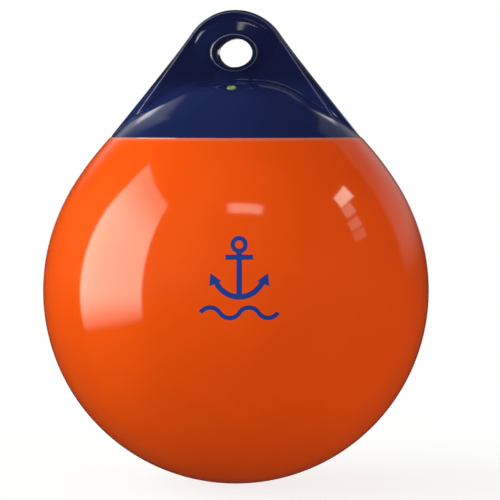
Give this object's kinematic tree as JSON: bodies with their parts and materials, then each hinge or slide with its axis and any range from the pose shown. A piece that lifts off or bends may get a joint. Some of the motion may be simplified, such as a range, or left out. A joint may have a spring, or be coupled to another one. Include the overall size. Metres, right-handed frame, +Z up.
{
  "type": "inflatable mooring buoy ball",
  "caption": "Hollow inflatable vinyl buoy ball with a solid moulded rope eye on its crown and a flush rubber needle valve at the foot of the eye.",
  "frame": {"origin": "centre of the rope eye's oval bore", "axes": "+Z up along the buoy's axis, from the ball to the eye; +Y along the eye's bore, away from the side that carries the valve; +X across the ear"},
  "size_m": [0.3, 0.3, 0.3679],
  "materials": {
    "orange_vinyl": "glossy rotomoulded vinyl, slightly soft",
    "navy_vinyl": "glossy moulded vinyl, solid and stiff",
    "olive_rubber": "satin moulded rubber"
  },
  "bodies": {
    "root": {"ball_shell": "orange_vinyl", "rope_eye_cap": "navy_vinyl", "needle_valve": "olive_rubber"}
  },
  "joints": []
}
